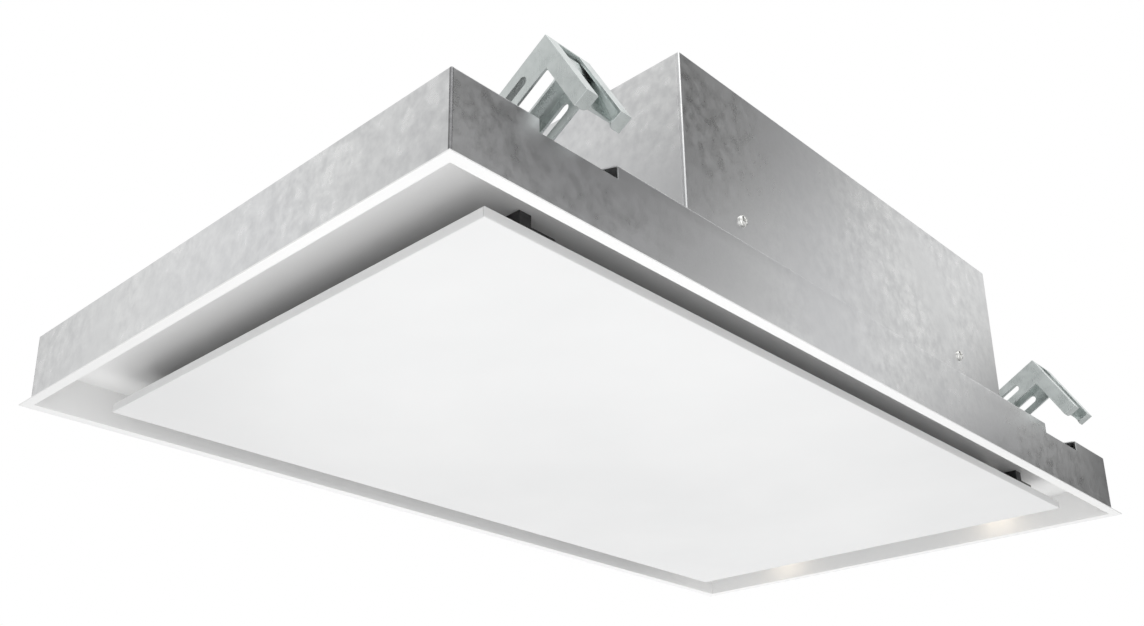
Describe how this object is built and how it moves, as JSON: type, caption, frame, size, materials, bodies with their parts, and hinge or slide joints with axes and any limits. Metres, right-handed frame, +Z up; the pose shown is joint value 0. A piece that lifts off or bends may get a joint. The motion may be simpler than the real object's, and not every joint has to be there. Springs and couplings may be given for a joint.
{
  "type": "ceiling range hood",
  "caption": "Flush ceiling range hood: white trim with a swing-down panel, filters, lamps, galvanised casing and blower box, duct collar with flaps, and screw-driven ceiling clamps.",
  "frame": {"origin": "middle of the hood, level with the lower face of the trim's rim", "axes": "+X along the long side, -Y towards the front, where the two seen clamps are, +Z up into the ceiling"},
  "size_m": [0.9, 0.535, 0.299],
  "materials": {
    "white_paint": "semi-gloss powder coat",
    "galvanised": "matt hot-dip galvanised sheet",
    "zinc": "bright zinc plate",
    "bright_steel": "zinc-plated steel",
    "black_plastic": "moulded matt black",
    "filter_aluminium": "expanded mesh in a rolled frame",
    "lamp_metal": "satin nickel",
    "lamp_lens": "frosted",
    "grey_felt": "sound-damping felt",
    "inlet_steel": "pressed galvanised sheet",
    "motor_paint": "dark grey paint",
    "rubber": "black rubber",
    "circuit_board": "green solder mask",
    "ivory_plastic": "moulded"
  },
  "bodies": {
    "hood": {"trim_frame": "white_paint", "casing": "galvanised", "box_ring": "galvanised", "blower_box": "galvanised", "box_screws": "bright_steel", "hinge_brackets": "galvanised", "hinge_pins": "bright_steel", "panel_catch_left": "black_plastic", "panel_catch_right": "black_plastic", "grease_filter_left": "filter_aluminium", "grease_filter_centre": "filter_aluminium", "grease_filter_right": "filter_aluminium", "lamp_bezels": "lamp_metal", "lamp_lenses": "lamp_lens", "heel_brackets": "galvanised", "heel_pins": "bright_steel", "clamp_base_plates": "galvanised", "blower_scroll": "black_plastic", "scroll_lid": "black_plastic", "inlet_ring": "inlet_steel", "motor": "motor_paint", "motor_bearings": "bright_steel", "motor_bracket": "galvanised", "motor_grommets": "rubber", "motor_screws": "bright_steel", "duct_collar": "black_plastic", "collar_screws": "bright_steel", "flap_pin": "bright_steel", "control_box": "black_plastic", "control_box_lid": "black_plastic", "control_board": "circuit_board", "terminal_block": "ivory_plastic", "cable_gland": "black_plastic"},
    "panel": {"panel": "white_paint", "panel_backing": "grey_felt", "hinge_leaves": "galvanised", "catch_tongues": "galvanised"},
    "impeller": {"impeller": "black_plastic", "motor_shaft": "bright_steel"},
    "flap_front": {"flap_front": "black_plastic"},
    "flap_rear": {"flap_rear": "black_plastic"},
    "latch_left": {"filter_latch_left": "black_plastic"},
    "latch_centre": {"filter_latch_centre": "black_plastic"},
    "latch_right": {"filter_latch_right": "black_plastic"},
    "clamp_front_left": {"clamp_front_left": "zinc"},
    "nut_front_left": {"clamp_nut_front_left": "bright_steel"},
    "screw_front_left": {"clamp_screw_front_left": "bright_steel", "clamp_lever_front_left": "black_plastic"},
    "clamp_front_right": {"clamp_front_right": "zinc"},
    "nut_front_right": {"clamp_nut_front_right": "bright_steel"},
    "screw_front_right": {"clamp_screw_front_right": "bright_steel", "clamp_lever_front_right": "black_plastic"},
    "clamp_rear_left": {"clamp_rear_left": "zinc"},
    "nut_rear_left": {"clamp_nut_rear_left": "bright_steel"},
    "screw_rear_left": {"clamp_screw_rear_left": "bright_steel", "clamp_lever_rear_left": "black_plastic"},
    "clamp_rear_right": {"clamp_rear_right": "zinc"},
    "nut_rear_right": {"clamp_nut_rear_right": "bright_steel"},
    "screw_rear_right": {"clamp_screw_rear_right": "bright_steel", "clamp_lever_rear_right": "black_plastic"}
  },
  "joints": [
    {"name": "panel_hinge", "type": "hinge", "parent": "hood", "child": "panel", "pos_m": [0, 0.205, 0.014], "axis": [1, 0, 0], "range_deg": [0, 90]},
    {"name": "impeller_spin", "type": "hinge", "parent": "hood", "child": "impeller", "pos_m": [-0.025, -0.05, 0.11], "axis": [0, 0, 1], "continuous": true},
    {"name": "flap_front_lift", "type": "hinge", "parent": "hood", "child": "flap_front", "pos_m": [0.065, 0.141, 0.1963], "axis": [-1, 0, 0], "range_deg": [0, 75]},
    {"name": "flap_rear_lift", "type": "hinge", "parent": "hood", "child": "flap_rear", "pos_m": [0.065, 0.141, 0.1963], "axis": [1, 0, 0], "range_deg": [0, 75]},
    {"name": "latch_left_slide", "type": "slide", "parent": "hood", "child": "latch_left", "axis": [0, 1, 0], "range_m": [0, 0.006], "stiffness_N_per_m": 600, "springref_m": -0.004},
    {"name": "latch_centre_slide", "type": "slide", "parent": "hood", "child": "latch_centre", "axis": [0, 1, 0], "range_m": [0, 0.006], "stiffness_N_per_m": 600, "springref_m": -0.004},
    {"name": "latch_right_slide", "type": "slide", "parent": "hood", "child": "latch_right", "axis": [0, 1, 0], "range_m": [0, 0.006], "stiffness_N_per_m": 600, "springref_m": -0.004},
    {"name": "screw_front_left_spin", "type": "hinge", "parent": "hood", "child": "screw_front_left", "pos_m": [-0.3408, -0.1896, 0.02], "axis": [0, 0, 1], "range_deg": [0, 6866.1]},
    {"name": "nut_front_left_travel", "type": "slide", "parent": "hood", "child": "nut_front_left", "axis": [0, 0, -1], "range_m": [0, 0.01909]},
    {"name": "clamp_front_left_tilt", "type": "hinge", "parent": "hood", "child": "clamp_front_left", "pos_m": [-0.3408, -0.15954, 0.065], "axis": [1, 0, 0], "range_deg": [0, 31.5]},
    {"name": "screw_front_right_spin", "type": "hinge", "parent": "hood", "child": "screw_front_right", "pos_m": [0.3408, -0.1896, 0.02], "axis": [0, 0, 1], "range_deg": [0, 6866.1]},
    {"name": "nut_front_right_travel", "type": "slide", "parent": "hood", "child": "nut_front_right", "axis": [0, 0, -1], "range_m": [0, 0.01909]},
    {"name": "clamp_front_right_tilt", "type": "hinge", "parent": "hood", "child": "clamp_front_right", "pos_m": [0.3408, -0.15954, 0.065], "axis": [1, 0, 0], "range_deg": [0, 31.5]},
    {"name": "screw_rear_left_spin", "type": "hinge", "parent": "hood", "child": "screw_rear_left", "pos_m": [-0.3408, 0.1896, 0.02], "axis": [0, 0, 1], "range_deg": [0, 6866.1]},
    {"name": "nut_rear_left_travel", "type": "slide", "parent": "hood", "child": "nut_rear_left", "axis": [0, 0, -1], "range_m": [0, 0.01909]},
    {"name": "clamp_rear_left_tilt", "type": "hinge", "parent": "hood", "child": "clamp_rear_left", "pos_m": [-0.3408, 0.15954, 0.065], "axis": [-1, 0, 0], "range_deg": [0, 31.5]},
    {"name": "screw_rear_right_spin", "type": "hinge", "parent": "hood", "child": "screw_rear_right", "pos_m": [0.3408, 0.1896, 0.02], "axis": [0, 0, 1], "range_deg": [0, 6866.1]},
    {"name": "nut_rear_right_travel", "type": "slide", "parent": "hood", "child": "nut_rear_right", "axis": [0, 0, -1], "range_m": [0, 0.01909]},
    {"name": "clamp_rear_right_tilt", "type": "hinge", "parent": "hood", "child": "clamp_rear_right", "pos_m": [0.3408, 0.15954, 0.065], "axis": [-1, 0, 0], "range_deg": [0, 31.5]}
  ],
  "couplings": [
    {"joint": "screw_front_left_spin", "follows": "clamp_front_left_tilt", "ratio": 217.95},
    {"joint": "nut_front_left_travel", "follows": "clamp_front_left_tilt", "m_per_rad": 0.034688},
    {"joint": "screw_front_right_spin", "follows": "clamp_front_right_tilt", "ratio": 217.95},
    {"joint": "nut_front_right_travel", "follows": "clamp_front_right_tilt", "m_per_rad": 0.034688},
    {"joint": "screw_rear_left_spin", "follows": "clamp_rear_left_tilt", "ratio": 217.95},
    {"joint": "nut_rear_left_travel", "follows": "clamp_rear_left_tilt", "m_per_rad": 0.034688},
    {"joint": "screw_rear_right_spin", "follows": "clamp_rear_right_tilt", "ratio": 217.95},
    {"joint": "nut_rear_right_travel", "follows": "clamp_rear_right_tilt", "m_per_rad": 0.034688}
  ]
}
